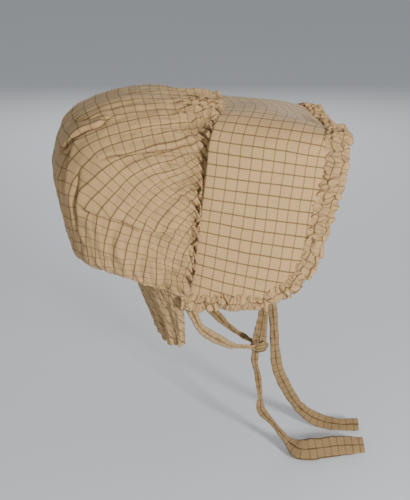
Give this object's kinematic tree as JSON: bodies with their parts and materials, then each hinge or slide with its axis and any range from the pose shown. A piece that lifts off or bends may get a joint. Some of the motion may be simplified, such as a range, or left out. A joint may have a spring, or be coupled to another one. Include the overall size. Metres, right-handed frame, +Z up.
{
  "type": "poke bonnet",
  "caption": "Soft checked cotton poke bonnet with a deep bent brim, gathered crown, ruffled edge, nape curtain and ties knotted under the chin.",
  "frame": {"origin": "where the bonnet rests on the top of the head, on the centre line just inside the seam between brim and crown", "axes": "+Z up as worn, +X forward to the face opening, +Y to the wearer's left"},
  "size_m": [0.3883, 0.2008, 0.475],
  "materials": {
    "brim_cloth": "tan cotton with a fine brown windowpane check",
    "frill_cloth": "the same checked cotton, tightly gathered",
    "crown_cloth": "the same checked cotton, gathered and creased",
    "curtain_cloth": "the same checked cotton in soft folds",
    "tie_cloth": "narrow hemmed strips of the same checked cotton"
  },
  "bodies": {
    "root": {"brim": "brim_cloth", "brim_frill": "frill_cloth", "crown": "crown_cloth", "neck_curtain": "curtain_cloth", "tie_right": "tie_cloth", "tie_left": "tie_cloth", "tie_knot": "tie_cloth", "tail_left": "tie_cloth", "tail_right": "tie_cloth"}
  },
  "joints": []
}
